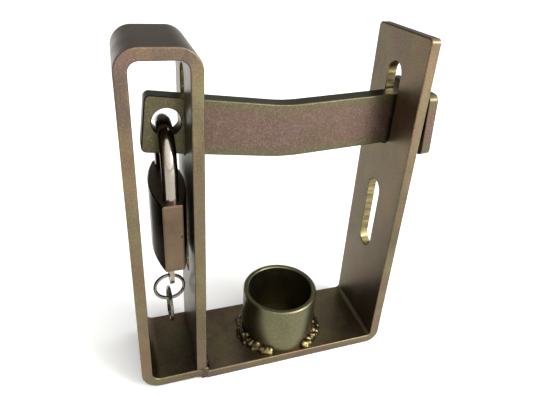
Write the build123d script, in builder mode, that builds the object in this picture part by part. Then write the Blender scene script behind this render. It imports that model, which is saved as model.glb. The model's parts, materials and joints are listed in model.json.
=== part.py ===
"""Trailer coupler lock: a welded flat-bar frame with a socket tube, a slotted crossbar and its padlock.

Millimetres, +Z up. The origin is on the socket tube's axis at the underside of the base. X runs along
the base towards the crossbar's stop plate, and Y across the flat bar, with -Y on the user's side.
"""
import os
from math import atan2, cos, degrees, radians, sin, sqrt

from build123d import *

os.makedirs("parts", exist_ok=True)

# ---------------------------------------------------------------- frame sizes
bar_width = 52.0            # flat bar of the frame, across Y
bar_thickness = 6.0
bar_edge = 0.8              # rolled edge of the flat bar
frame_length = 157.4        # guard loop's outer face to the right upright's outer face
tube_from_loop = 92.1       # guard loop's outer face to the tube's axis, which is x = 0
loop_width = 38.0           # outside the guard loop
loop_height = 201.0
loop_lift = 2.6             # the loop was welded this much above the base's underside
loop_corner = 11.0          # outside radius of the loop's bends
upright_height = 206.4      # right upright, from the base's underside
base_corner = 8.5           # outside radius of the base's bend
bar_end_corner = 2.5        # rounded corners at the top of the right upright
seam_gap = 0.3              # bar ends that were cut to meet and then welded
cut_over = 1.0              # how far a cutting shape runs past the face that it cuts

# ---------------------------------------------------------------- socket tube
tube_outer = 48.3
tube_wall = 3.2
tube_height = 33.4          # above the base's top face
tube_edge = 0.6
tube_bead = 5.5             # leg of the beads at the tube's foot
tube_bead_arcs = ((132.0, 106.0), (-62.0, 88.0))    # start and sweep of each bead, degrees
tube_bead_crown = 0.58      # middle of the bead's face, as a part of its leg

# ---------------------------------------------------------------- frame welds
frame_bead = 3.0            # leg of the bead along the base, between the loop and the base
frame_bead_climb = 1.2      # its leg up the loop, as a part of the leg along the base
frame_bead_crown = (0.55, 0.62)     # middle of the bead's face, as parts of the leg
end_bead_width = 6.5        # the short beads over the joint's two ends
end_bead_overlap = 1.5      # how much of them lies on the base
end_bead_proud = 0.9

# ---------------------------------------------------------------- crossbar and slots
crossbar_height = 30.0
crossbar_thickness = 10.0
crossbar_edge = 0.8
crossbar_y = 2.0            # middle of the crossbar and of the slots
slot_play = 3.0             # slot width over the crossbar's thickness
slot_spare_height = 19.2    # slot length over the crossbar's height
lower_slot_bottom = 63.9    # right upright
upper_slot_bottom = 139.3
loop_slot_rise = 1.5        # the loop's slots stand this much above the right upright's
slot_edge = 0.5
seat_clearance = 0.05       # crossbar over the slot ends that it rests on
bend_x = -6.1               # where the crossbar's shallow V is bent
bend_dip = 5.0              # its bend below the line between the two seats
bend_inner = 85.0           # radius on the inside, the top edge
tab_corner = 3.0
tab_beyond_hole = 13.5      # hole's middle to the crossbar's left end, along the arm
hole_play = 6.5             # hole's diameter over the shackle's
hole_shift = 1.2            # the hole's middle is this much to the right of the hanging shackle
hole_rise = 2.0             # above the arm's middle line
head_gap = 6.0              # stop plate from the right upright's outer face
head_thickness = 6.0
head_width = 44.0
head_height = 36.6
head_drop = 0.6             # plate's middle below the arm's middle
head_corner = 4.0
head_bead = 2.5
head_bead_slope = 44.0      # of the bead's face, degrees
head_bead_flat = 0.1        # left at the bead's outer edge
head_edge = 0.8

# ---------------------------------------------------------------- padlock
lock_side_gap = 0.4         # body's convex face to the guard loop's inner upright
body_height = 40.0
body_thickness = 19.2       # across X, at the middle of the convex faces
body_end = 9.7              # width of the narrow faces
body_edge = 0.6
rod_diameter = 8.0
leg_spacing = 40.0
leg_wall = 3.0              # between a leg and the narrow face beside it
neck_below_arch = 13.1      # body's top below the middle of the arch
arch_clearance = 0.15       # between the arch and the edges of the crossbar's hole
leg_clearance = 0.1         # radial, legs in the body
toe_below_latch = 6.5       # toe's end below the latch's middle
toe_taper = 1.0
toe_floor = 0.5             # room under the toe in its hole
shackle_lift = 7.0
heel_floor = 2.4            # metal under the heel's hole
heel_spring_room = 8.0
heel_collar = 3.0           # length of the full-size end below the waist
heel_waist = 1.0            # depth of the waist turned in the heel
stop_pin_radius = 1.0
pin_run = 0.1               # clearance of cross pins to what they hold

plug_radius = 6.0
running_gap = 0.05          # radial clearance of turning and sliding pieces
pin_count = 5
pin_pitch = 2.9
first_pin = 2.6             # above the body's bottom
tumbler_radius = 1.15
tumbler_tip = 0.65          # taper of the key pins' ends
shear_gap = 0.12            # key pins and drivers from the turning circle
driver_length = 4.0
tumbler_spring_length = 6.0
retainer_radius = 0.8
retainer_inset = 0.4        # pin's middle inside the plug's edge; the turning key passes inside it
retainer_beyond_pins = 3.3
plug_beyond_retainer = 3.5
cam_thickness = 1.5
cam_gap = 0.35              # below the latch's chamber
cam_inset = 0.2             # cam's edge inside the plug's
drive_pin_radius = 1.5
drive_pin_play = 0.22       # each side, in the latch's slot
latch_stroke = 4.0
latch_engagement = 2.0      # nose in the toe's notch
latch_height = 6.0
latch_width = 7.0
latch_gap = 0.15            # latch in its chamber, each side
latch_tail = 1.7            # inner end beyond the lock's axis
latch_spring_solid = 3.5    # length of the latch's spring when it is pressed shut
spring_wire = 0.8
latch_spring_radius = 2.0
shackle_spring_radius = 2.8
main_spring_turns = 4       # latch's and shackle's springs
tumbler_wire = 0.3
tumbler_spring_radius = 0.8
tumbler_spring_turns = 5

# ---------------------------------------------------------------- key and rings
blade_thickness = 2.0
blade_back = 4.4            # blade's plain edge from the axis
blade_front = 2.8           # blade's uncut edge from the axis
blade_beyond_pins = 4.8
key_cuts = (0.5, 1.4, 0.8, 1.7, 1.1)
keyway_clearance = 0.1
cut_flat = 0.5              # half the flat at the bottom of each cut
tip_lead = (3.5, 2.5)       # long bevel at the blade's tip, across and along the blade
tip_back_lead = 1.5         # short bevel behind it
blade_end_room = 0.5        # keyway beyond the blade's tip
blade_root = 1.0            # blade's root inside the bow
bow_thickness = 2.5
bow_drop = 2.5              # bow's shoulder below the body
bow_side_gap = 1.0          # the bow turns this far from the loop's uprights
bow_end_flat = 0.5          # half the flat at the bow's top and bottom
neck_width = 9.0
neck_rise = 2.0             # neck's top above the bow's shoulder
bow_bottom = 27.6           # below the body
bow_hole = 7.0
bow_rim = 1.8               # metal below the hole
ring_wire = 1.8             # radial
ring_stack = 2.8            # both turns together
ring_1_outer = 19.0
ring_2_outer = 22.0
ring_1_shift = 1.2          # it hangs this much to the left of the key
ring_2_back = 2.75          # its middle hangs this far behind ring 1's wire
ring_clearance = 0.25
wire_flat = 0.05            # half the flat left on the wire's rounded sides
ring_groove = 0.25          # between the two turns

# ---------------------------------------------------------------- worked-out places
base_top = bar_thickness
half_width = bar_width / 2
loop_left = -tube_from_loop
loop_middle = loop_left + loop_width / 2
seam_x = loop_left + loop_width         # the inner upright's right face, where the base starts
inner_left = seam_x - bar_thickness
right_outer = loop_left + frame_length
right_inner = right_outer - bar_thickness
slot_width = crossbar_thickness + slot_play
slot_length = crossbar_height + slot_spare_height

# A round-ended slot holds the crossbar by its two rounded lower edges, above the slot's own end.
edge_reach = sqrt((slot_width / 2 - crossbar_edge) ** 2 - (crossbar_thickness / 2 - crossbar_edge) ** 2)
seat_rise = slot_width / 2 - crossbar_edge - edge_reach
loop_seat = Vector(seam_x, upper_slot_bottom + loop_slot_rise + seat_rise + seat_clearance)
right_seat = Vector(right_inner, upper_slot_bottom + seat_rise + seat_clearance)
seat_slope = (right_seat.Y - loop_seat.Y) / (right_seat.X - loop_seat.X)
bend_low = Vector(bend_x, loop_seat.Y + seat_slope * (bend_x - loop_seat.X) - bend_dip)
left_arm = (loop_seat - bend_low).normalized()      # unit vectors in the XZ plane, away from the bend
right_arm = (right_seat - bend_low).normalized()
left_up = Vector(left_arm.Y, -left_arm.X)           # square to each arm, towards its top edge
right_up = Vector(-right_arm.Y, right_arm.X)
bend_up = (left_up + right_up).normalized()
bend_high = bend_low + bend_up * (crossbar_height / bend_up.dot(left_up))
head_middle_x = right_outer + head_gap
right_length = (head_middle_x - bend_low.X) / right_arm.X + crossbar_height / 2 * right_arm.Y
head_low = bend_low + right_arm * right_length
head_middle = head_low + right_up * (crossbar_height / 2)

lock_x = inner_left - lock_side_gap - body_thickness / 2
hole_diameter = rod_diameter + hole_play
hole_x = lock_x + hole_shift
hole_low = loop_seat + left_arm * ((seam_x - hole_x) / -left_arm.X)
hole_z = hole_low.Y + crossbar_height / 2 / left_up.Y + hole_rise
tab_low = hole_low + left_arm * tab_beyond_hole

lock_y = crossbar_y
rod_radius = rod_diameter / 2
arch_radius = leg_spacing / 2
arch_inner = arch_radius - rod_radius
hole_bottom = hole_z - sqrt((hole_diameter / 2) ** 2 - (lock_x - hole_x) ** 2)
arch_z = hole_bottom + arch_clearance - sqrt(arch_inner ** 2 - (crossbar_thickness / 2) ** 2)
body_top = arch_z - neck_below_arch
body_bottom = body_top - body_height
heel_y = lock_y - leg_spacing / 2
toe_y = lock_y + leg_spacing / 2
body_width = leg_spacing + rod_diameter + 2 * leg_wall
body_front = lock_y - body_width / 2
body_back = lock_y + body_width / 2
leg_hole = rod_radius + leg_clearance
heel_end = body_bottom + heel_floor + heel_spring_room
waist_low = heel_end + heel_collar
stop_pin_z = waist_low + shackle_lift + stop_pin_radius + pin_run
waist_high = stop_pin_z + stop_pin_radius + pin_run
stop_pin_x = lock_x + rod_radius - heel_waist + stop_pin_radius + pin_run
stop_pin_length = leg_wall + rod_diameter

bore_radius = plug_radius + running_gap
pin_heights = [body_bottom + first_pin + pin_pitch * i for i in range(pin_count)]
retainer_z = pin_heights[-1] + retainer_beyond_pins
retainer_x = lock_x + plug_radius - retainer_inset
plug_top = retainer_z + plug_beyond_retainer
blade_tip = pin_heights[-1] + blade_beyond_pins
cam_top = plug_top + cam_thickness
chamber_low = cam_top + cam_gap
latch_z = chamber_low + latch_gap + latch_height / 2
chamber_high = latch_z + latch_height / 2 + latch_gap
toe_end = latch_z - toe_below_latch
nose_radius = latch_height / 2
nose_tip = arch_inner + latch_engagement            # from the lock's axis
latch_room = latch_tail + latch_stroke + latch_spring_solid
drive_offset = latch_stroke / 2                     # the drive pin's X and Y from the axis at rest
drive_pin_top = latch_z + drive_pin_radius
shear_inside = plug_radius - shear_gap
shear_outside = plug_radius + shear_gap
driver_end = shear_outside + driver_length
tumbler_spring_end = driver_end + tumbler_spring_length

bow_width = body_thickness + 2 * (lock_side_gap - bow_side_gap)
bow_corner = bow_width / 2 - bow_end_flat
bow_low = body_bottom - bow_bottom
bow_hole_z = bow_low + bow_rim + bow_hole / 2
ring_1_x = lock_x - ring_1_shift
ring_1_inner = ring_1_outer / 2 - ring_wire
ring_1_reach = ring_1_shift + bow_thickness / 2
wire_corner = ring_wire / 2 - wire_flat
wire_seat = bow_hole_z - sqrt((bow_hole / 2) ** 2 - (ring_stack / 2) ** 2) + ring_clearance
ring_1_z = wire_seat - sqrt(ring_1_inner ** 2 - ring_1_reach ** 2)
ring_2_inner = ring_2_outer / 2 - ring_wire
ring_1_floor = ring_1_z - ring_1_inner              # top of ring 1's lowest wire
ring_2_y = lock_y + ring_2_back
ring_2_run = ring_2_back + ring_stack / 2
ring_2_z = ring_1_floor - sqrt((ring_2_inner - ring_clearance) ** 2 - ring_2_run ** 2)


def finish(piece, name):
    """Label a finished sub-part and write its STEP file."""
    piece.part.label = name
    export_step(piece.part, f"parts/{name}.step")
    print(f"{name:20s} {piece.part.volume:12.1f} mm3  solids {len(piece.part.solids())}")


def coil(start, direction, length, turns, radius, wire):
    """A round-wire spring whose middle line starts at start and runs along direction."""
    with BuildPart(mode=Mode.PRIVATE) as spring:
        with BuildLine() as spiral:
            Helix(pitch=length / turns, height=length, radius=radius, center=start,
                  direction=direction)
        with BuildSketch(Plane(origin=spiral.line @ 0, z_dir=spiral.line % 0)):
            Circle(wire / 2)
        sweep(path=spiral.line, is_frenet=True)
    return spring.part


def side_edges(piece):
    """The edges of the faces that look along Y, which are the rolled edges of a flat bar."""
    faces = piece.faces().filter_by(Axis.Y)
    ends = faces.group_by(Axis.Y)[0] + faces.group_by(Axis.Y)[-1]
    return ends.edges()


# ---------------------------------------------------------------- guard loop
loop_low = loop_lift
loop_high = loop_lift + loop_height
foot_z = loop_low + bar_thickness + seam_gap

with BuildPart() as guard_loop:
    with BuildSketch(Plane.XZ) as loop_profile:
        with Locations((loop_middle, (loop_low + loop_high) / 2)):
            Rectangle(loop_width, loop_height)
        outer_corners = loop_profile.vertices().sort_by(Axis.Y)
        bent_low = outer_corners[:2].sort_by(Axis.X)[0]
        fillet([bent_low, *outer_corners[2:]], loop_corner)
        with BuildSketch(Plane.XY, mode=Mode.PRIVATE) as loop_inside:
            with Locations((loop_middle, (loop_low + loop_high) / 2)):
                Rectangle(loop_width - 2 * bar_thickness, loop_height - 2 * bar_thickness)
            inner_corners = loop_inside.vertices().sort_by(Axis.Y)
            inner_low = inner_corners[:2].sort_by(Axis.X)[0]
            fillet([inner_low, *inner_corners[2:]], loop_corner - bar_thickness)
        add(loop_inside.sketch, mode=Mode.SUBTRACT)
        with Locations((seam_x - bar_thickness / 2, foot_z - seam_gap / 2)):
            Rectangle(bar_thickness + cut_over, seam_gap, mode=Mode.SUBTRACT)
    extrude(amount=half_width, both=True)
    fillet(side_edges(guard_loop), bar_edge)
    with BuildSketch(Plane.YZ.offset(inner_left - cut_over)):
        for slot_bottom in (lower_slot_bottom, upper_slot_bottom):
            with Locations((crossbar_y, slot_bottom + loop_slot_rise + slot_length / 2)):
                SlotOverall(slot_length, slot_width, rotation=90)
    extrude(amount=bar_thickness + 2 * cut_over, mode=Mode.SUBTRACT)
    slot_faces = guard_loop.faces().filter_by(Axis.X)
    mouths = slot_faces.filter_by(lambda f: len(f.inner_wires()) == 2)
    chamfer([e for f in mouths for w in f.inner_wires() for e in w.edges()], slot_edge)
finish(guard_loop, "guard_loop")

# ---------------------------------------------------------------- base and right upright
with BuildPart() as base_bracket:
    with BuildSketch(Plane.XZ):
        with BuildLine():
            base_start = seam_x + seam_gap
            outer = FilletPolyline((base_start, 0), (right_outer, 0), (right_outer, upright_height),
                                   radius=base_corner)
            inner = FilletPolyline((base_start, base_top), (right_inner, base_top),
                                   (right_inner, upright_height), radius=base_corner - bar_thickness)
            Line(outer @ 0, inner @ 0)
            Line(outer @ 1, inner @ 1)
        make_face()
    extrude(amount=half_width, both=True)
    top_corners = base_bracket.edges().filter_by(Axis.X).group_by(Axis.Z)[-1]
    fillet(top_corners, bar_end_corner)
    fillet(side_edges(base_bracket), bar_edge)
    with BuildSketch(Plane.YZ.offset(right_inner - cut_over)):
        for slot_bottom in (lower_slot_bottom, upper_slot_bottom):
            with Locations((crossbar_y, slot_bottom + slot_length / 2)):
                SlotOverall(slot_length, slot_width, rotation=90)
    extrude(amount=bar_thickness + 2 * cut_over, mode=Mode.SUBTRACT)
    upright_faces = base_bracket.faces().filter_by(Axis.X)
    mouths = upright_faces.filter_by(lambda f: len(f.inner_wires()) == 2)
    chamfer([e for f in mouths for w in f.inner_wires() for e in w.edges()], slot_edge)
finish(base_bracket, "base_bracket")

# ---------------------------------------------------------------- socket tube
with BuildPart() as coupler_tube:
    with BuildSketch(Plane.XY.offset(base_top)):
        Circle(tube_outer / 2)
        Circle(tube_outer / 2 - tube_wall, mode=Mode.SUBTRACT)
    extrude(amount=tube_height)
    chamfer(coupler_tube.faces().sort_by(Axis.Z)[-1].edges(), tube_edge)
finish(coupler_tube, "coupler_tube")

# The bead's section lies in the plane of its start angle and is turned about the tube's axis.
with BuildPart() as tube_welds:
    for start_angle, sweep_angle in tube_bead_arcs:
        turn = radians(start_angle)
        bead_plane = Plane(origin=(0, 0, base_top), x_dir=(cos(turn), sin(turn), 0),
                           z_dir=(sin(turn), -cos(turn), 0))
        with BuildSketch(bead_plane):
            with BuildLine():
                foot = tube_outer / 2
                crown = tube_bead_crown * tube_bead
                Line((foot, 0), (foot + tube_bead, 0))
                ThreePointArc((foot + tube_bead, 0), (foot + crown, crown), (foot, tube_bead))
                Line((foot, tube_bead), (foot, 0))
            make_face()
        revolve(axis=Axis.Z, revolution_arc=sweep_angle)
finish(tube_welds, "tube_welds")

# ---------------------------------------------------------------- frame welds
with BuildPart() as frame_welds:
    with BuildSketch(Plane.XZ):
        with BuildLine():
            bead_top = base_top + frame_bead_climb * frame_bead
            crown_x, crown_z = (part * frame_bead for part in frame_bead_crown)
            Line((seam_x, base_top), (seam_x + frame_bead, base_top))
            ThreePointArc((seam_x + frame_bead, base_top), (seam_x + crown_x, base_top + crown_z),
                          (seam_x, bead_top))
            Line((seam_x, bead_top), (seam_x, base_top))
        make_face()
    extrude(amount=half_width - bar_edge, both=True)
    for side in (-1, 1):
        with BuildSketch(Plane.XY.offset(bar_edge)):
            with BuildLine():
                bead_middle = seam_x - end_bead_width / 2 + end_bead_overlap
                ends = [(bead_middle + end * end_bead_width / 2, side * half_width)
                        for end in (-1, 1)]
                ThreePointArc(ends[0], (bead_middle, side * (half_width + end_bead_proud)), ends[1])
                Line(ends[1], ends[0])
            make_face()
        extrude(amount=loop_low + bar_thickness)
    add(guard_loop.part, mode=Mode.SUBTRACT)
    add(base_bracket.part, mode=Mode.SUBTRACT)
finish(frame_welds, "frame_welds")

# ---------------------------------------------------------------- crossbar
crossbar_plane = Plane.XZ.offset(-crossbar_y)
with BuildPart() as crossbar:
    with BuildSketch(crossbar_plane) as crossbar_profile:
        with BuildLine():
            tab_high = tab_low + left_up * crossbar_height
            head_high = head_low + right_up * crossbar_height
            Polyline(tab_low, bend_low, head_low, head_high, bend_high, tab_high, close=True)
        make_face()
        across = crossbar_profile.vertices().sort_by(Axis.X)
        fillet(across[:2], tab_corner)
        middle = crossbar_profile.vertices().sort_by_distance((bend_x, bend_low.Y))[0]
        fillet(middle, bend_inner + crossbar_height)
        middle = crossbar_profile.vertices().sort_by_distance((bend_high.X, bend_high.Y))[0]
        fillet(middle, bend_inner)
    extrude(amount=crossbar_thickness / 2, both=True)
    fillet(side_edges(crossbar), crossbar_edge)
    with BuildSketch(crossbar_plane):
        with Locations((hole_x, hole_z)):
            Circle(hole_diameter / 2)
    extrude(amount=crossbar_thickness, both=True, mode=Mode.SUBTRACT)
    hole_rims = crossbar.edges().filter_by(GeomType.CIRCLE)
    hole_rims = hole_rims.filter_by(lambda e: abs(e.radius - hole_diameter / 2) < 1e-4)
    chamfer(hole_rims, slot_edge)
finish(crossbar, "crossbar")

arm_direction = Vector(right_arm.X, 0, right_arm.Y)
arm_up = Vector(right_up.X, 0, right_up.Y)
head_origin = Vector(head_middle.X, crossbar_y, head_middle.Y)
head_plane = Plane(origin=head_origin - arm_up * head_drop, x_dir=(0, 1, 0), z_dir=arm_direction)
with BuildPart() as crossbar_head:
    with BuildSketch(head_plane):
        RectangleRounded(head_width, head_height, head_corner)
    extrude(amount=head_thickness)
    fillet(crossbar_head.faces().sort_by(Axis((0, 0, 0), arm_direction))[-1].edges(), head_edge)
    fillet(crossbar_head.faces().sort_by(Axis((0, 0, 0), arm_direction))[0].edges(), head_edge)
finish(crossbar_head, "crossbar_head")

weld_plane = Plane(origin=head_origin, x_dir=(0, 1, 0), z_dir=arm_direction * -1)
with BuildPart() as head_weld:
    with BuildSketch(weld_plane):
        RectangleRounded(crossbar_thickness + 2 * head_bead, crossbar_height + 2 * head_bead,
                         head_bead)
    extrude(amount=head_bead - head_bead_flat, taper=head_bead_slope)
    add(crossbar.part, mode=Mode.SUBTRACT)
finish(head_weld, "head_weld")

# ---------------------------------------------------------------- shackle
lock_plane = Plane.YZ.offset(lock_x)
notch_run = sqrt(latch_stroke ** 2 + shackle_lift ** 2)
notch_angle = degrees(atan2(shackle_lift, latch_stroke))
with BuildPart() as shackle:
    with BuildLine(lock_plane) as shackle_line:
        toe_leg = Line((toe_y, toe_end), (toe_y, arch_z))
        arch = CenterArc((lock_y, arch_z), arch_radius, 0, 180)
        heel_leg = Line((heel_y, arch_z), (heel_y, heel_end))
    with BuildSketch(Plane.XY.offset(toe_end)):
        with Locations((lock_x, toe_y)):
            Circle(rod_radius)
    sweep(path=shackle_line.wires()[0])
    # Waist in the heel: a ring of metal turned away between the neck's two ends.
    with BuildSketch(Plane.XY.offset(waist_low)):
        with Locations((lock_x, heel_y)):
            Circle(rod_radius + cut_over)
            Circle(rod_radius - heel_waist, mode=Mode.SUBTRACT)
    extrude(amount=waist_high - waist_low, mode=Mode.SUBTRACT)
    # Notch in the toe: as deep as the latch's nose, running out below along the nose's path.
    with BuildSketch(lock_plane):
        with Locations((lock_y + nose_tip - nose_radius - latch_stroke / 2,
                        latch_z - shackle_lift / 2)):
            SlotCenterToCenter(notch_run, latch_height + 2 * latch_gap, rotation=notch_angle)
    extrude(amount=rod_diameter, both=True, mode=Mode.SUBTRACT)
    chamfer(shackle.faces().filter_by(Axis.Z).sort_by(Axis.Y)[-1].edges(), toe_taper)
finish(shackle, "shackle")

# ---------------------------------------------------------------- padlock body
with BuildPart() as padlock_body:
    with BuildSketch(Plane.XY.offset(body_bottom)):
        with BuildLine():
            corners = [(lock_x + sx * body_end / 2, y) for y in (body_front, body_back)
                       for sx in (-1, 1)]
            Line(corners[0], corners[1])
            ThreePointArc(corners[1], (lock_x + body_thickness / 2, lock_y), corners[3])
            Line(corners[3], corners[2])
            ThreePointArc(corners[2], (lock_x - body_thickness / 2, lock_y), corners[0])
        make_face()
    extrude(amount=body_height)
    chamfer(padlock_body.edges(), body_edge)
    with BuildSketch(Plane.XY.offset(body_top)):
        with Locations((lock_x, heel_y)):
            Circle(leg_hole)
    extrude(amount=-(body_height - heel_floor), mode=Mode.SUBTRACT)
    with BuildSketch(Plane.XY.offset(body_top)):
        with Locations((lock_x, toe_y)):
            Circle(leg_hole)
    extrude(amount=-(body_top - toe_end + toe_floor), mode=Mode.SUBTRACT)
    with BuildSketch(Plane.XY.offset(body_bottom)):
        with Locations((lock_x, lock_y)):
            Circle(bore_radius)
    extrude(amount=chamber_low - body_bottom, mode=Mode.SUBTRACT)
    with BuildSketch(Plane.XY.offset(chamber_low)):
        chamber_length = latch_room + arch_radius
        with Locations((lock_x, lock_y - latch_room + chamber_length / 2)):
            Rectangle(latch_width + 2 * latch_gap, chamber_length)
    extrude(amount=chamber_high - chamber_low, mode=Mode.SUBTRACT)
    # Round pocket above the cam, which the drive pin sweeps.
    with BuildSketch(Plane.XY.offset(chamber_low)):
        with Locations((lock_x, lock_y)):
            Circle(sqrt(2) * drive_offset + drive_pin_radius + drive_pin_play)
    extrude(amount=chamber_high - chamber_low, mode=Mode.SUBTRACT)
    with BuildSketch(Plane.XZ.offset(-lock_y)):
        for height in pin_heights:
            with Locations((lock_x, height)):
                Circle(tumbler_radius + running_gap)
    extrude(amount=-(body_width / 2 + cut_over), mode=Mode.SUBTRACT)
    with BuildSketch(Plane.XZ.offset(-body_front)):
        with Locations((stop_pin_x, stop_pin_z)):
            Circle(stop_pin_radius)
    extrude(amount=-stop_pin_length, mode=Mode.SUBTRACT)
    with BuildSketch(Plane.XZ.offset(-body_back)):
        with Locations((retainer_x, retainer_z)):
            Circle(retainer_radius)
    extrude(amount=body_width / 2, mode=Mode.SUBTRACT)
finish(padlock_body, "padlock_body")

with BuildPart() as heel_stop_pin:
    with BuildSketch(Plane.XZ.offset(-body_front)):
        with Locations((stop_pin_x, stop_pin_z)):
            Circle(stop_pin_radius)
    extrude(amount=-stop_pin_length)
finish(heel_stop_pin, "heel_stop_pin")

with BuildPart() as plug_retaining_pin:
    with BuildSketch(Plane.XZ.offset(-body_back)):
        with Locations((retainer_x, retainer_z)):
            Circle(retainer_radius)
    extrude(amount=body_width / 2)
finish(plug_retaining_pin, "plug_retaining_pin")

# ---------------------------------------------------------------- plug, cam and latch
with BuildPart() as plug:
    with BuildSketch(Plane.XY.offset(body_bottom)):
        with Locations((lock_x, lock_y)):
            Circle(plug_radius)
    extrude(amount=plug_top - body_bottom)
    with BuildSketch(Plane.XY.offset(body_bottom)):
        keyway_low = -blade_back - keyway_clearance
        keyway_high = blade_front + keyway_clearance
        with Locations((lock_x, lock_y + (keyway_low + keyway_high) / 2)):
            Rectangle(blade_thickness + 2 * keyway_clearance, keyway_high - keyway_low)
    extrude(amount=blade_tip + blade_end_room - body_bottom, mode=Mode.SUBTRACT)
    with BuildSketch(Plane.XZ.offset(-lock_y)):
        for height in pin_heights:
            with Locations((lock_x, height)):
                Circle(tumbler_radius + running_gap)
    extrude(amount=-(plug_radius + cut_over), mode=Mode.SUBTRACT)
    with BuildSketch(Plane.XY.offset(retainer_z - retainer_radius - pin_run)):
        with Locations((lock_x, lock_y)):
            Circle(plug_radius + cut_over)
            Circle(retainer_x - lock_x - retainer_radius - pin_run, mode=Mode.SUBTRACT)
    extrude(amount=2 * (retainer_radius + pin_run), mode=Mode.SUBTRACT)
finish(plug, "plug")

with BuildPart() as locking_cam:
    with BuildSketch(Plane.XY.offset(plug_top)):
        with Locations((lock_x, lock_y)):
            Circle(plug_radius - cam_inset)
    extrude(amount=cam_thickness)
    with BuildSketch(Plane.XY.offset(cam_top)):
        with Locations((lock_x - drive_offset, lock_y + drive_offset)):
            Circle(drive_pin_radius)
    extrude(amount=drive_pin_top - cam_top)
finish(locking_cam, "locking_cam")

with BuildPart() as latch:
    with BuildSketch(lock_plane):
        with BuildLine():
            tail_y = lock_y - latch_tail
            nose_y = lock_y + nose_tip - nose_radius
            low_z = latch_z - nose_radius
            high_z = latch_z + nose_radius
            Polyline((nose_y, high_z), (tail_y, high_z), (tail_y, low_z), (nose_y, low_z))
            ThreePointArc((nose_y, low_z), (nose_y + nose_radius, latch_z), (nose_y, high_z))
        make_face()
    extrude(amount=latch_width / 2, both=True)
    # Side slot that the drive pin works in; it opens through the latch's left side.
    slot_inner_x = lock_x - drive_offset + drive_pin_radius + drive_pin_play
    slot_outer_x = lock_x - latch_width / 2 - cut_over
    with BuildSketch(Plane.XY.offset(low_z - cut_over)):
        with Locations(((slot_inner_x + slot_outer_x) / 2, lock_y + drive_offset)):
            Rectangle(slot_inner_x - slot_outer_x, 2 * (drive_pin_radius + drive_pin_play))
    extrude(amount=latch_height + 2 * cut_over, mode=Mode.SUBTRACT)
finish(latch, "latch")

# ---------------------------------------------------------------- springs
wire_seat_gap = spring_wire / 2 + running_gap        # spring's middle line from what it bears on
with BuildPart() as latch_spring:
    add(coil((lock_x, lock_y - latch_tail - wire_seat_gap, latch_z), (0, -1, 0),
             latch_room - latch_tail - 2 * wire_seat_gap, main_spring_turns,
             latch_spring_radius, spring_wire))
finish(latch_spring, "latch_spring")

with BuildPart() as shackle_spring:
    add(coil((lock_x, heel_y, heel_end - heel_spring_room + wire_seat_gap), (0, 0, 1),
             heel_spring_room - 2 * wire_seat_gap, main_spring_turns,
             shackle_spring_radius, spring_wire))
finish(shackle_spring, "shackle_spring")

with BuildPart() as pin_springs:
    seat_gap = tumbler_wire / 2 + running_gap
    for height in pin_heights:
        add(coil((lock_x, lock_y + driver_end + seat_gap, height), (0, 1, 0),
                 tumbler_spring_length - 2 * seat_gap, tumbler_spring_turns,
                 tumbler_spring_radius, tumbler_wire))
finish(pin_springs, "pin_springs")

# ---------------------------------------------------------------- tumblers
with BuildPart() as key_pins:
    for height, cut in zip(pin_heights, key_cuts):
        cut_edge = blade_front - cut + running_gap
        with BuildSketch(Plane.XZ.offset(-(lock_y + cut_edge))):
            with Locations((lock_x, height)):
                Circle(tumbler_radius)
        extrude(amount=-(shear_inside - cut_edge))
    tips = [group.sort_by(Axis.Y)[0] for group in
            (solid.faces().filter_by(Axis.Y) for solid in key_pins.solids())]
    chamfer([edge for tip in tips for edge in tip.edges()], tumbler_tip)
finish(key_pins, "key_pins")

with BuildPart() as driver_pins:
    with BuildSketch(Plane.XZ.offset(-(lock_y + shear_outside))):
        for height in pin_heights:
            with Locations((lock_x, height)):
                Circle(tumbler_radius)
    extrude(amount=-driver_length)
finish(driver_pins, "driver_pins")

with BuildPart() as pin_hole_plugs:
    with BuildSketch(Plane.XZ.offset(-(lock_y + tumbler_spring_end))):
        for height in pin_heights:
            with Locations((lock_x, height)):
                Circle(tumbler_radius + running_gap)
    extrude(amount=-(body_width / 2 - tumbler_spring_end))
finish(pin_hole_plugs, "pin_hole_plugs")

# ---------------------------------------------------------------- key
bow_top = body_bottom - bow_drop
with BuildPart() as key:
    with BuildSketch(lock_plane):
        with BuildLine():
            edge = lock_y + blade_front
            back = lock_y - blade_back
            points = [(edge, bow_top - blade_root)]
            for height, cut in zip(pin_heights, key_cuts):
                points.append((edge - cut, height - cut_flat))
                points.append((edge - cut, height + cut_flat))
            lead_across, lead_along = tip_lead
            points.append((edge, blade_tip - lead_along))
            points.append((edge - lead_across, blade_tip))
            points.append((back, blade_tip - tip_back_lead))
            points.append((back, bow_top - blade_root))
            Polyline(*points, close=True)
        make_face()
    extrude(amount=blade_thickness / 2, both=True)
    with BuildSketch(lock_plane) as bow_profile:
        with Locations((lock_y, (bow_low + bow_top) / 2)):
            RectangleRounded(bow_width, bow_top - bow_low, bow_corner)
        with Locations((lock_y, bow_top)):
            Rectangle(neck_width, 2 * neck_rise)
        with Locations((lock_y, bow_hole_z)):
            Circle(bow_hole / 2, mode=Mode.SUBTRACT)
    extrude(amount=bow_thickness / 2, both=True)
finish(key, "key")

# ---------------------------------------------------------------- key rings
# A split ring is two flat turns side by side; the groove between them runs all the way round.


def ring_section(outer):
    """Half section of a split ring in its own plane: X is the radius, Y the ring's axis."""
    with BuildSketch(Plane.XY, mode=Mode.PRIVATE) as section:
        with Locations((outer / 2 - ring_wire / 2, 0)):
            RectangleRounded(ring_wire, ring_stack, wire_corner)
        with Locations((outer / 2, 0), (outer / 2 - ring_wire, 0)):
            Rectangle(2 * ring_groove, ring_groove, mode=Mode.SUBTRACT)
    return section.sketch


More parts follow.
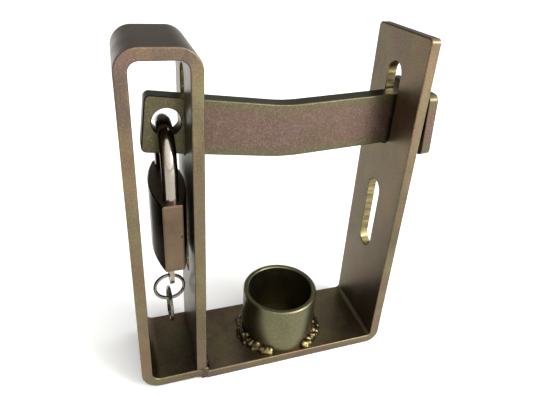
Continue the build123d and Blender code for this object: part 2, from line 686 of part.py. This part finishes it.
with BuildPart() as key_ring_1:
    ring_plane = Plane(origin=(ring_1_x, lock_y, ring_1_z), x_dir=(1, 0, 0), z_dir=(0, 0, 1))
    with BuildSketch(ring_plane):
        add(ring_section(ring_1_outer))
    revolve(axis=Axis((ring_1_x, lock_y, ring_1_z), (0, 1, 0)))
finish(key_ring_1, "key_ring_1")

with BuildPart() as key_ring_2:
    ring_plane = Plane(origin=(ring_1_x, ring_2_y, ring_2_z), x_dir=(0, 1, 0), z_dir=(0, 0, -1))
    with BuildSketch(ring_plane):
        add(ring_section(ring_2_outer))
    revolve(axis=Axis((ring_1_x, ring_2_y, ring_2_z), (1, 0, 0)))
finish(key_ring_2, "key_ring_2")
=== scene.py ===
"""Looks of a trailer coupler lock: yellow-passivated steel bar and pipe, its weld beads, a chrome shackle,
a bronze padlock and its key on two split rings. Metres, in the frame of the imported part."""
import json
import random
from math import cos, pi, radians, sin

import bpy
from mathutils import Matrix, Vector


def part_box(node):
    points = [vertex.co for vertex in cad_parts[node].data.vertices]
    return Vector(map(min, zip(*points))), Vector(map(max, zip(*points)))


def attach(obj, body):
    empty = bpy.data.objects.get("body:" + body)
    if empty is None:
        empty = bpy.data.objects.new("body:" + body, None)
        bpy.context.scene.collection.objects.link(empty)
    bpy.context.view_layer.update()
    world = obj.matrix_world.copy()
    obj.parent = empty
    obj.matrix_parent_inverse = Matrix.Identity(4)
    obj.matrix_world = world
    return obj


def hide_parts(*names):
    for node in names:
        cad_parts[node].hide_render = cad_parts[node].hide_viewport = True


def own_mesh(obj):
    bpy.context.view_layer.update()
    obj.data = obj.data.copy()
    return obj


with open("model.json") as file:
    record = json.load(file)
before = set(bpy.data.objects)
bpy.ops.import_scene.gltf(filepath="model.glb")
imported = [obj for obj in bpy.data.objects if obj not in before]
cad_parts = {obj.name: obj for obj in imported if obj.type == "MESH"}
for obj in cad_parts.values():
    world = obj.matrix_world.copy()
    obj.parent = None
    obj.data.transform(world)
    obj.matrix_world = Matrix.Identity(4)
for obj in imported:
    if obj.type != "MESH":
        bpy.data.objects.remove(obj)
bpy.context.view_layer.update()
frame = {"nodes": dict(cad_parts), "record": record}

MM = 0.001


# ------------------------------------------------------------------ colours and nodes
def linear(hex_colour):
    """An sRGB hex colour as the linear RGBA that Blender's sockets take."""
    parts = [int(hex_colour[i:i + 2], 16) / 255 for i in (1, 3, 5)]
    return [p / 12.92 if p <= 0.04045 else ((p + 0.055) / 1.055) ** 2.4 for p in parts] + [1]


def per(size_mm):
    """The scale that makes a pattern's features about this many millimetres."""
    return 1 / (size_mm * MM)


def add(tree, kind, inputs=None, stops=None, **settings):
    """Adds a node with its settings. An input takes a number, a hex colour, an output, or a node, whose
    first working output is linked. stops are a colour ramp's, each a place and a hex colour or a grey."""
    node = tree.nodes.new("ShaderNode" + kind)
    for key, value in settings.items():
        setattr(node, key, value)
    if stops:
        elements = node.color_ramp.elements
        while len(elements) < len(stops):
            elements.new(0.5)
        for element, (place, colour) in zip(elements, stops):
            element.position = place
            element.color = linear(colour) if isinstance(colour, str) else [colour] * 3 + [1]
    for key, value in (inputs or {}).items():
        if isinstance(value, bpy.types.Node):
            value = next(output for output in value.outputs if output.enabled)
        if isinstance(value, bpy.types.NodeSocket):
            tree.links.new(value, node.inputs[key])
        else:
            node.inputs[key].default_value = linear(value) if isinstance(value, str) else value
    return node


def new_material(name):
    """An empty node material, its tree and its object coordinates."""
    material = bpy.data.materials.new(name)
    material.use_nodes = True
    material.node_tree.nodes.clear()
    place = add(material.node_tree, "TexCoord").outputs["Object"]
    return material, material.node_tree, place


def edge_mask(tree, radius_mm, low, high):
    """1 on outer and inner edges, 0 on flats: how far the rounded normal leans from the real one."""
    rounded = add(tree, "Bevel", {"Radius": radius_mm * MM}, samples=6)
    real = add(tree, "NewGeometry").outputs["Normal"]
    lean = add(tree, "VectorMath", {0: rounded, 1: real}, operation="DOT_PRODUCT").outputs["Value"]
    return add(tree, "MapRange", {"Value": lean, "From Min": high, "From Max": low})


# ------------------------------------------------------------------ materials
def yellow_zinc(name, clouds, bloom, worn, roughness, grain=(1, 1, 1), extra=None):
    """Zinc-plated steel, yellow chromate passivated. The film is a fraction of a micron thick, so it shows
    interference colours, olive to bronze with faint pink, violet and green blooms, over the fine grain of
    pickled steel. Edges are bright zinc in patches, partly rubbed and partly a painted highlight, and
    recesses get painted shade. extra lays a piece's own colours over the film."""
    material, tree, place = new_material(name)
    drawn = add(tree, "Mapping", {"Vector": place, "Scale": grain})
    large = add(tree, "TexNoise", {"Vector": drawn, "Scale": per(45), "Detail": 2.0, "Distortion": 0.4})
    film = add(tree, "ValToRGB", {"Fac": large}, clouds)
    beside = add(tree, "Mapping", {"Vector": place, "Scale": grain, "Location": (0.31, 0.31, 0.31)})
    small = add(tree, "TexNoise", {"Vector": beside, "Scale": per(14), "Detail": 4.0, "Roughness": 0.6,
                                   "Distortion": 0.8})
    middling = add(tree, "TexNoise", {"Vector": beside, "Scale": per(30), "Detail": 3.0,
                                      "Distortion": 0.8})
    blooms = add(tree, "ValToRGB", {"Fac": middling}, bloom)
    patches = add(tree, "ValToRGB", {"Fac": small}, ((0.40, 0.0), (0.64, 0.55)))
    base = add(tree, "Mix", {0: patches, 6: film, 7: blooms}, data_type="RGBA")
    if extra:
        base = extra(tree, place, base)
    # The grain is about 0.2 mm; it is drawn at 0.9 mm so that it shows.
    speck = add(tree, "TexNoise", {"Vector": place, "Scale": per(0.9), "Detail": 3.0, "Roughness": 0.7})
    pits = add(tree, "ValToRGB", {"Fac": speck}, ((0.34, 0.24), (0.5, 0.0)))
    base = add(tree, "Mix", {0: pits, 6: base, 7: "#2b251c"}, data_type="RGBA")
    peaks = add(tree, "ValToRGB", {"Fac": speck}, ((0.52, 0.0), (0.72, 0.11)))
    base = add(tree, "Mix", {0: peaks, 6: base, 7: worn}, data_type="RGBA")
    # Edges are brightened in patches: partly rubbed bright zinc, partly a painted highlight along the rounded
    # edges.
    handled = add(tree, "TexNoise", {"Vector": place, "Scale": per(5.0), "Detail": 5.0, "Roughness": 0.7})
    handled = add(tree, "ValToRGB", {"Fac": handled}, ((0.42, 0.10), (0.62, 0.75)))
    rubbed = add(tree, "Math", {0: edge_mask(tree, 1.0, 0.70, 0.96), 1: handled}, operation="MULTIPLY")
    base = add(tree, "Mix", {0: rubbed, 6: base, 7: worn}, data_type="RGBA")
    # Painted shade: the ambient occlusion darkens the colour in corners, recesses and between parts.
    shade = add(tree, "AmbientOcclusion", {"Distance": 22 * MM}, samples=6).outputs["AO"]
    grime = add(tree, "ValToRGB", {"Fac": shade}, ((0.12, 0.42), (0.75, 0.0)))
    base = add(tree, "Mix", {0: grime, 6: base, 7: "#17120c"}, data_type="RGBA")
    gloss = add(tree, "MapRange", {"Value": small, "From Min": 0.3, "From Max": 0.7,
                                   "To Min": roughness - 0.05, "To Max": roughness + 0.06})
    gloss = add(tree, "Mix", {0: rubbed, 2: gloss, 3: roughness - 0.10}, data_type="FLOAT")
    hills = add(tree, "TexNoise", {"Vector": drawn, "Scale": per(6.0), "Detail": 4.0})
    rolled = add(tree, "Bump", {"Height": hills, "Strength": 0.10, "Distance": 0.25 * MM})
    fine = add(tree, "Bump", {"Height": speck, "Strength": 0.16, "Distance": 0.05 * MM,
                              "Normal": rolled})
    metal = add(tree, "BsdfPrincipled", {"Base Color": base, "Metallic": 1.0, "Roughness": gloss,
                                         "Normal": fine})
    add(tree, "OutputMaterial", {"Surface": metal})
    return material


def slot_walls(tree, place, base):
    """The flame-cut walls of the slots: paler and yellower, with drag lines through the bar's thickness."""
    _, y, z = add(tree, "SeparateXYZ", {0: place}).outputs
    normal = add(tree, "TexCoord").outputs["Normal"]
    facing = add(tree, "SeparateXYZ", {0: normal}).outputs["X"]
    across = add(tree, "Math", {0: facing}, operation="ABSOLUTE")
    # The walls look away from X, inside the band of Y and Z that holds the slots.
    slot_sides = (-6 * MM, 10 * MM)
    slot_ends = (60 * MM, 192 * MM)
    wall = add(tree, "Math", {0: across, 1: 0.4}, operation="LESS_THAN")
    for value, (low, high) in ((y, slot_sides), (z, slot_ends)):
        for limit, test in ((low, "GREATER_THAN"), (high, "LESS_THAN")):
            inside = add(tree, "Math", {0: value, 1: limit}, operation=test)
            wall = add(tree, "Math", {0: wall, 1: inside}, operation="MULTIPLY")
    lined = add(tree, "Mapping", {"Vector": place, "Scale": (0.12, 1, 1)})
    drag = add(tree, "TexNoise", {"Vector": lined, "Scale": per(1.6), "Detail": 3.0, "Roughness": 0.6})
    cut = add(tree, "ValToRGB", {"Fac": drag}, ((0.36, "#5a5138"), (0.5, "#776c4b"), (0.64, "#948860")))
    return add(tree, "Mix", {0: wall, 6: base, 7: cut}, data_type="RGBA")


def green_borders(tree, place, base):
    """The crossbar's film is thicker along its two edges, where it turns from pink-brown to green."""
    x, _, z = add(tree, "SeparateXYZ", {0: place}).outputs
    # Its middle line is a shallow V: it rises from the bend by arm_slope each way, less a slight lean.
    bend_x = -5.7 * MM
    bend_z = 152.1 * MM
    arm_slope = 0.0902
    lean = -0.0265
    tab_start = -50 * MM
    tab_end = -58 * MM
    all_green = 17 * MM          # this far from the middle line the film is green
    all_pink = 11.5 * MM
    raggedness = 7 * MM
    along = add(tree, "Math", {0: x, 1: bend_x}, operation="SUBTRACT")
    away = add(tree, "Math", {0: along}, operation="ABSOLUTE")
    rise = add(tree, "Math", {0: away, 1: arm_slope, 2: bend_z}, operation="MULTIPLY_ADD")
    middle = add(tree, "Math", {0: along, 1: lean, 2: rise}, operation="MULTIPLY_ADD")
    height = add(tree, "Math", {0: z, 1: middle}, operation="SUBTRACT")
    height = add(tree, "Math", {0: height}, operation="ABSOLUTE")
    drawn = add(tree, "Mapping", {"Vector": place, "Scale": (0.3, 1, 1)})
    ragged = add(tree, "TexNoise", {"Vector": drawn, "Scale": per(7), "Detail": 4.0, "Roughness": 0.65})
    height = add(tree, "Math", {0: ragged, 1: raggedness, 2: height}, operation="MULTIPLY_ADD")
    border = add(tree, "MapRange", {"Value": height, "From Min": all_pink, "From Max": all_green})
    tab = add(tree, "MapRange", {"Value": x, "From Min": tab_start, "From Max": tab_end})
    border = add(tree, "Math", {0: border, 1: tab}, operation="MAXIMUM")
    border = add(tree, "Math", {0: border, 1: 0.85}, operation="MULTIPLY")
    return add(tree, "Mix", {0: border, 6: base, 7: "#524f39"}, data_type="RGBA")


def bar_zinc():
    """Hot-rolled flat bar: olive and bronze clouds drawn out a little along the bar."""
    return yellow_zinc("yellow_zinc_on_rolled_bar",
                       ((0.34, "#564d3a"), (0.48, "#615843"), (0.60, "#655443"), (0.72, "#594d43")),
                       ((0.38, "#6d6a47"), (0.5, "#75624b"), (0.64, "#6c564e")),
                       "#c9bd98", 0.36, (1, 1, 0.6), slot_walls)


def pipe_zinc():
    """Drawn pipe: smoother than the bar, and greener."""
    return yellow_zinc("yellow_zinc_on_pipe",
                       ((0.34, "#54533d"), (0.48, "#5f5c44"), (0.62, "#655f47"), (0.76, "#59533e")),
                       ((0.38, "#5c6548"), (0.5, "#635d43"), (0.66, "#5f5a4e")),
                       "#bdb794", 0.34, (1, 1, 0.7))


def crossbar_zinc():
    """Bright-rolled bar: pinkish brown, with greenish borders."""
    return yellow_zinc("yellow_zinc_on_crossbar",
                       ((0.34, "#4f3f36"), (0.48, "#57463d"), (0.60, "#5b4a41"), (0.76, "#52453b")),
                       ((0.38, "#524a37"), (0.5, "#5b4943"), (0.66, "#58484a")),
                       "#cfc4a8", 0.34, (0.5, 1, 1), green_borders)


def bright_ends(tree, place, base):
    """Where the tube's beads end, in front, the last of the metal froze clean and took a gold film."""
    x, y, _ = add(tree, "SeparateXYZ", {0: place}).outputs
    front = add(tree, "MapRange", {"Value": y, "From Min": -22.5 * MM, "From Max": -24.5 * MM})
    by_tube = add(tree, "Math", {0: x, 1: -40 * MM}, operation="GREATER_THAN")
    gold = add(tree, "Math", {0: front, 1: by_tube}, operation="MULTIPLY")
    return add(tree, "Mix", {0: gold, 6: base, 7: "#a0945f"}, data_type="RGBA")


def weld_zinc():
    """Weld metal under the same film: bright on its ripples and brown between them."""
    return yellow_zinc("yellow_zinc_on_weld_metal",
                       ((0.34, "#3a3222"), (0.47, "#544a34"), (0.60, "#685c41"), (0.74, "#4a4032")),
                       ((0.38, "#756b49"), (0.5, "#5c5039"), (0.64, "#665547")),
                       "#b3a67e", 0.34, extra=bright_ends)


def plated(name, colour, roughness, bump=0.05, size_mm=6.0):
    """A bright plated or polished metal with a slight ripple and small changes of gloss."""
    material, tree, place = new_material(name)
    cloud = add(tree, "TexNoise", {"Vector": place, "Scale": per(size_mm), "Detail": 4.0})
    gloss = add(tree, "MapRange", {"Value": cloud, "From Min": 0.3, "From Max": 0.7,
                                   "To Min": roughness * 0.7, "To Max": roughness * 1.4})
    scuff = add(tree, "TexNoise", {"Vector": place, "Scale": per(0.7), "Detail": 5.0, "Roughness": 0.7})
    scuff = add(tree, "ValToRGB", {"Fac": scuff}, ((0.36, 0.25), (0.5, 0.0)))
    tone = add(tree, "Mix", {0: scuff, 6: colour, 7: "#3b3631"}, data_type="RGBA")
    # Painted shade: the ambient occlusion darkens the colour in corners, recesses and between parts.
    shade = add(tree, "AmbientOcclusion", {"Distance": 10 * MM}, samples=6).outputs["AO"]
    grime = add(tree, "ValToRGB", {"Fac": shade}, ((0.15, 0.7), (0.8, 0.0)))
    tone = add(tree, "Mix", {0: grime, 6: tone, 7: "#1d1812"}, data_type="RGBA")
    relief = add(tree, "Bump", {"Height": cloud, "Strength": bump, "Distance": 0.2 * MM})
    metal = add(tree, "BsdfPrincipled", {"Base Color": tone, "Metallic": 1.0, "Roughness": gloss,
                                         "Normal": relief})
    add(tree, "OutputMaterial", {"Surface": metal})
    return material


def drawn_bronze():
    """Drawn and tumbled bronze: satin with fine upright draw lines on the narrow faces, which were cut and
    linished, and glossier on the broad faces, which were left as drawn. The broad faces are also painted
    darker, a painted reflection of the dark surroundings."""
    material, tree, place = new_material("drawn_bronze")
    facing = add(tree, "SeparateXYZ", {0: add(tree, "TexCoord").outputs["Normal"]}).outputs["X"]
    broad = add(tree, "Math", {0: facing}, operation="ABSOLUTE")
    broad = add(tree, "MapRange", {"Value": broad, "From Min": 0.55, "From Max": 0.9})
    upright = add(tree, "Mapping", {"Vector": place, "Scale": (1, 1, 0.05)})
    lines = add(tree, "TexNoise", {"Vector": upright, "Scale": per(0.8), "Detail": 3.0, "Roughness": 0.6})
    cloud = add(tree, "TexNoise", {"Vector": place, "Scale": per(14), "Detail": 4.0, "Roughness": 0.6})
    satin = add(tree, "ValToRGB", {"Fac": cloud}, ((0.3, "#4f4132"), (0.5, "#5c4d3d"), (0.7, "#655544")))
    faint = add(tree, "ValToRGB", {"Fac": lines}, ((0.4, 0.2), (0.6, 0.0)))
    satin = add(tree, "Mix", {0: faint, 6: satin, 7: "#54483b"}, data_type="RGBA")
    # Painted reflection: the broad faces are painted near black for the dark surroundings that they mirror.
    dark = add(tree, "ValToRGB", {"Fac": cloud}, ((0.3, "#1f1a14"), (0.7, "#2c251c")))
    tone = add(tree, "Mix", {0: broad, 6: satin, 7: dark}, data_type="RGBA")
    edge = add(tree, "Math", {0: edge_mask(tree, 0.5, 0.75, 0.97), 1: 0.5}, operation="MULTIPLY")
    tone = add(tree, "Mix", {0: edge, 6: tone, 7: "#a08d6d"}, data_type="RGBA")
    gloss = add(tree, "Mix", {0: broad, 2: 0.38, 3: 0.22}, data_type="FLOAT")
    relief = add(tree, "Bump", {"Height": lines, "Strength": 0.08, "Distance": 0.05 * MM})
    metal = add(tree, "BsdfPrincipled", {"Base Color": tone, "Metallic": 1.0, "Roughness": gloss,
                                         "Normal": relief})
    add(tree, "OutputMaterial", {"Surface": metal})
    return material


finishes = {
    "frame_zinc": bar_zinc(),
    "pipe_zinc": pipe_zinc(),
    "crossbar_zinc": crossbar_zinc(),
    "weld_zinc": weld_zinc(),
    # Chrome plate over a polished rod: almost a mirror.
    "shackle_chrome": plated("chrome_plate", "#8d867d", 0.13),
    "lock_brass": drawn_bronze(),
    # Turned brass: yellow, with the lathe's satin.
    "pin_brass": plated("turned_brass", "#c9a45c", 0.28, 0.10, 1.5),
    # Spring wire: drawn grey steel.
    "spring_steel": plated("drawn_spring_wire", "#8f9092", 0.30, 0.08, 1.2),
    # Nickel plate over brass: warm grey, softer than chrome.
    "key_nickel": plated("nickel_plated_brass", "#8b8170", 0.26, 0.08, 3.0),
    # A pressed-in steel pin that was tumbled with the body: dull and dark.
    "pin_steel": plated("tumbled_steel_pin", "#3d362e", 0.42, 0.05, 1.0),
    # Nickel plate over flat spring wire.
    "ring_nickel": plated("nickel_plated_wire", "#7e7970", 0.22, 0.06, 2.0),
}


def finish_node(name, finish):
    """Gives a CAD node one of the finishes, in its own material slot."""
    for slot in frame["nodes"][name].material_slots:
        slot.material = finishes[finish]


for part in frame["record"]["subparts"]:
    finish_node(part["node"], part["material_slot"])
finish_node("coupler_tube", "pipe_zinc")
finish_node("heel_stop_pin", "pin_steel")


# ------------------------------------------------------------------ new pieces
def start_piece():
    """Deselects everything, so that what is added next is alone."""
    bpy.ops.object.select_all(action="DESELECT")


def hand_over(piece, name, body, slot, smooth, stands_for):
    """Names a finished piece, puts its place in its mesh, smooths it and gives it its body and finish;
    stands_for names the nodes that it replaces."""
    start_piece()
    piece.select_set(True)
    bpy.context.view_layer.objects.active = piece
    bpy.ops.object.transform_apply(location=True, rotation=True, scale=True)
    bpy.ops.object.shade_smooth_by_angle(angle=radians(smooth))
    piece.name = piece.data.name = name
    piece.data.materials.clear()
    piece.data.materials.append(finishes[slot])
    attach(piece, body)
    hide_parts(*stands_for)


def apply_modifier(piece, kind, **settings):
    """Adds one modifier, sets it and applies it."""
    modifier = piece.modifiers.new(kind.lower(), kind)
    for key, value in settings.items():
        setattr(modifier, key, value)
    bpy.context.view_layer.objects.active = piece
    bpy.ops.object.modifier_apply(modifier=modifier.name)


def weld_drop(centre, along, size, flat, squeeze=(1, 1)):
    """One frozen drop of weld metal: a ball pressed flat along the run of the bead, and narrowed across
    it by squeeze."""
    start_piece()
    turn = Vector(along).to_track_quat("Z", "Y").to_euler()
    bpy.ops.mesh.primitive_uv_sphere_add(segments=14, ring_count=8, radius=size, location=centre,
                                         rotation=turn, scale=(squeeze[0], squeeze[1], flat))
    return bpy.context.object


def melt(drops, voxel_mm):
    """Joins the drops of a bead and fuses them into one skin."""
    start_piece()
    for drop in drops:
        drop.select_set(True)
    bpy.context.view_layer.objects.active = drops[0]
    bpy.ops.object.join()
    bead = bpy.context.object
    bpy.ops.object.transform_apply(location=True, rotation=True, scale=True)
    apply_modifier(bead, "REMESH", mode="VOXEL", voxel_size=voxel_mm * MM)
    apply_modifier(bead, "SMOOTH", factor=0.5, iterations=3)
    return bead


def tube_bead(start, end, swell_at, chance):
    """A hand-laid bead at the tube's foot between two angles; it is fattest at swell_at, and its ends are
    lumps where the arc was broken."""
    low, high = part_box("coupler_tube")
    radius = (high[0] - low[0]) / 2
    run = 0.8 * MM               # from one drop to the next, along the bead's middle
    step = run / (radius + 2 * MM)
    count = int(radians(end - start) / step)
    # Sizes in millimetres: each is its least and what the swell adds to it.
    drop_least, drop_swell = 1.75, 0.35
    leg_least, leg_swell = 2.7, 1.5
    root_least, root_swell = 2.3, 0.6
    swell_reach = radians(60)
    end_drops = 3
    end_lump = 0.4 * MM
    root_out = 1.1 * MM
    root_up = 1.0 * MM
    drops = []
    for i in range(count + 1):
        turn = radians(start) + i * step
        swell = max(0.0, 1 - abs(turn - radians(swell_at)) / swell_reach)
        size = (drop_least + drop_swell * swell + chance.uniform(-0.4, 0.5)) * MM
        if i < end_drops or i > count - end_drops:
            size += end_lump
        # The drops lie anywhere on the bead's slope, from the pipe's wall down to the base.
        slope = chance.uniform(0, 1)
        leg = (leg_least + leg_swell * swell) * MM
        reach = radius + leg * slope * chance.uniform(0.8, 1.1)
        lift = leg * (1 - slope) * chance.uniform(0.7, 1.0)
        centre = (reach * cos(turn), reach * sin(turn), low[2] + lift + 0.2 * MM)
        along = (-sin(turn) + chance.uniform(-0.7, 0.7), cos(turn), chance.uniform(-0.7, 0.7))
        drops.append(weld_drop(centre, along, size, chance.uniform(0.6, 1.0)))
        # The root of the bead lies under them, without a gap.
        core = radius + root_out
        root = (core * cos(turn), core * sin(turn), low[2] + root_up)
        drops.append(weld_drop(root, along, (root_least + root_swell * swell) * MM, 0.8))
    return drops


def lay_tube_welds():
    """The tube is welded in two runs, left and right, and left open across its front."""
    chance = random.Random(7)
    left = melt(tube_bead(133, 243, 190, chance), 0.35)
    hand_over(left, "tube_weld_left", "frame", "weld_zinc", 60, ["tube_welds"])
    right = melt(tube_bead(-63, 32, -10, chance), 0.35)
    hand_over(right, "tube_weld_right", "frame", "weld_zinc", 60, ["tube_welds"])


def lay_frame_weld():
    """The base is welded to the loop along their seam, and the bead is turned over both ends of it."""
    chance = random.Random(11)
    seam_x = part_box("guard_loop")[1][0]
    front, back = (corner[1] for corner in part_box("guard_loop"))
    base_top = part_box("coupler_tube")[0][2]
    drops = []
    front_inset = 2 * MM
    back_inset = 1 * MM
    run = 1.2 * MM
    # Over each end of the seam the drops climb from the first height, in millimetres.
    end_drops = 5
    first_height, climb = 2.6, 1.45
    proud = 0.75 * MM
    place = front + front_inset
    while place < back - back_inset:
        centre = (seam_x + chance.uniform(0.3, 0.7) * MM, place, base_top + chance.uniform(0.4, 0.9) * MM)
        drops.append(weld_drop(centre, (chance.uniform(-0.2, 0.2), 1, 0), chance.uniform(1.8, 2.3) * MM, 0.7))
        place += run
    for side, face in ((1, front), (-1, back)):
        for i in range(end_drops):
            height = (first_height + climb * i + chance.uniform(-0.3, 0.3)) * MM
            centre = (seam_x + chance.uniform(-2.4, -0.6) * MM, face + side * proud, height)
            drops.append(weld_drop(centre, (0, 0, 1), chance.uniform(2.0, 2.7) * MM, 0.6, (1.0, 0.58)))
    bead = melt(drops, 0.4)
    hand_over(bead, "frame_weld_bead", "frame", "weld_zinc", 60, ["frame_welds"])


def close_ends():
    """Closes the two cut ends of the active wire with a face each and turns its faces outwards."""
    bpy.ops.object.mode_set(mode="EDIT")
    bpy.ops.mesh.select_all(action="DESELECT")
    bpy.ops.mesh.select_mode(type="EDGE")
    bpy.ops.mesh.select_non_manifold()
    bpy.ops.mesh.edge_face_add()
    bpy.ops.mesh.select_all(action="SELECT")
    bpy.ops.mesh.normals_make_consistent(inside=False)
    bpy.ops.object.mode_set(mode="OBJECT")


def split_ring(name, node, body, axis):
    """A key ring of flat spring wire: nearly two turns side by side; its ends, which on the ring are ground
    to a slope, are closed here with flat faces.
    """
    low, high = (Vector(corner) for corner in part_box(node))
    size = high - low
    outer = max(size) / 2
    stack = min(size)
    wire = 1.8 * MM
    turn_width = stack / 2
    width_filled = 0.94          # the rest is the gap between the two turns
    wound = radians(700)
    start_piece()
    bpy.ops.mesh.primitive_circle_add(vertices=16, radius=wire / 2, location=(0, 0, 0),
                                      rotation=(pi / 2, 0, 0), fill_type="NOTHING")
    ring = bpy.context.object
    bpy.ops.object.transform_apply(location=True, rotation=True, scale=True)
    bpy.ops.object.mode_set(mode="EDIT")
    bpy.ops.mesh.select_all(action="SELECT")
    bpy.ops.transform.resize(value=(1, 1, width_filled * turn_width / wire))
    bpy.ops.transform.translate(value=(outer - wire / 2, 0, -turn_width / 2))
    bpy.ops.object.mode_set(mode="OBJECT")
    apply_modifier(ring, "SCREW", axis="Z", angle=wound, screw_offset=turn_width, steps=150,
                   render_steps=150, use_normal_calculate=True)
    close_ends()
    ring.rotation_euler = {"Y": (pi / 2, 0, 0), "X": (0, pi / 2, 0)}[axis]
    ring.location = (low + high) / 2
    hand_over(ring, name, body, "ring_nickel", 50, [node])


def latch_coil():
    """The latch's spring: round wire, built at one length; in the lock it is pressed shorter against
    the body's end as the latch draws back.
    """
    low, high = (Vector(corner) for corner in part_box("latch_spring"))
    wire = 0.8 * MM
    turns = 4
    length = high.y - low.y
    start_piece()
    bpy.ops.mesh.primitive_circle_add(vertices=12, radius=wire / 2, location=(0, 0, 0),
                                      rotation=(pi / 2, 0, 0), fill_type="NOTHING")
    coil = bpy.context.object
    bpy.ops.object.transform_apply(location=True, rotation=True, scale=True)
    bpy.ops.object.mode_set(mode="EDIT")
    bpy.ops.mesh.select_all(action="SELECT")
    bpy.ops.transform.translate(value=((high.x - low.x) / 2 - wire / 2, 0, 0))
    bpy.ops.object.mode_set(mode="OBJECT")
    apply_modifier(coil, "SCREW", axis="Z", angle=2 * pi * turns, screw_offset=length - wire,
                   steps=24 * turns, render_steps=24 * turns, use_normal_calculate=True)
    close_ends()
    coil.rotation_euler = (-pi / 2, 0, 0)
    coil.location = ((low.x + high.x) / 2, low.y + wire / 2, (low.z + high.z) / 2)
    hand_over(coil, "latch_coil", "lock_case", "spring_steel", 50, ["latch_spring"])
    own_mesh(coil)


lay_tube_welds()
lay_frame_weld()
latch_coil()
split_ring("split_ring_upper", "key_ring_1", "ring_1", "Y")
split_ring("split_ring_lower", "key_ring_2", "ring_2", "X")


# ------------------------------------------------------------------ camera, floor and light
def place_camera():
    """Stands a little to the left of the guard loop and above it, turned to the right and down."""
    yaw, pitch, roll = radians(20.45), radians(27.29), radians(4.14)
    forward = Vector((sin(yaw) * cos(pitch), cos(yaw) * cos(pitch), -sin(pitch)))
    right = Vector((cos(yaw), -sin(yaw), 0))
    up = right.cross(forward)
    level = Matrix((right, up, -forward)).transposed().to_4x4()
    camera_data = bpy.data.cameras.new("camera")
    camera_data.lens = 30.286
    camera_data.sensor_width = 36
    camera_data.shift_x = -0.0007
    camera_data.shift_y = -0.0522
    camera = bpy.data.objects.new("camera", camera_data)
    bpy.context.scene.collection.objects.link(camera)
    camera.matrix_world = Matrix.Translation((-90.94 * MM, -223.5 * MM, 247.7 * MM)) @ level @ \
        Matrix.Rotation(roll, 4, "Z")
    bpy.context.scene.camera = camera


def lay_floor():
    """A plain matt pale floor, large enough to fill the view."""
    start_piece()
    bpy.ops.mesh.primitive_plane_add(size=14, location=(0, 0, 0))
    floor = bpy.context.object
    floor.name = "floor"
    material, tree, place = new_material("pale_matt_floor")
    matt = add(tree, "BsdfPrincipled", {"Base Color": "#f4f4f2", "Roughness": 0.9})
    add(tree, "OutputMaterial", {"Surface": matt})
    floor.data.materials.append(material)


def hang_light(name, position, target, width, height, power):
    """A soft box that looks at a point of the object."""
    light = bpy.data.lights.new(name, "AREA")
    light.shape = "RECTANGLE"
    light.size = width
    light.size_y = height
    light.energy = power
    lamp = bpy.data.objects.new(name, light)
    bpy.context.scene.collection.objects.link(lamp)
    aim = Vector(target) - Vector(position)
    lamp.matrix_world = Matrix.Translation(position) @ aim.to_track_quat("-Z", "Y").to_matrix().to_4x4()


def light_scene():
    """A soft dome that is bright from the front right and dark behind and overhead, with a pale horizon,
    and one soft box that lights the floor at the front right."""
    world = bpy.data.worlds.new("studio")
    world.use_nodes = True
    tree = world.node_tree
    tree.nodes.clear()
    direction = add(tree, "TexCoord").outputs["Generated"]
    toward = Vector((0.45, -0.80, 0.40)).normalized()
    facing = add(tree, "VectorMath", {0: direction, 1: toward}, operation="DOT_PRODUCT").outputs["Value"]
    strength = add(tree, "MapRange", {"Value": facing, "From Min": -0.25, "From Max": 1.0,
                                      "To Min": 0.19, "To Max": 3.2})
    height = add(tree, "SeparateXYZ", {0: direction}).outputs["Z"]
    horizon = add(tree, "MapRange", {"Value": height, "From Min": 0.05, "From Max": 0.15,
                                     "To Min": 0.9, "To Max": 0.0})
    strength = add(tree, "Math", {0: strength, 1: horizon}, operation="MAXIMUM")
    background = add(tree, "Background", {"Color": "#ffffff", "Strength": strength})
    add(tree, "OutputWorld", {"Surface": background})
    bpy.context.scene.world = world
    hang_light("right_box", (0.75, -0.80, 0.60), (0.3, -0.3, 0.0), 0.6, 0.5, 15)
    bpy.context.scene.view_settings.view_transform = "Standard"


place_camera()
lay_floor()
light_scene()
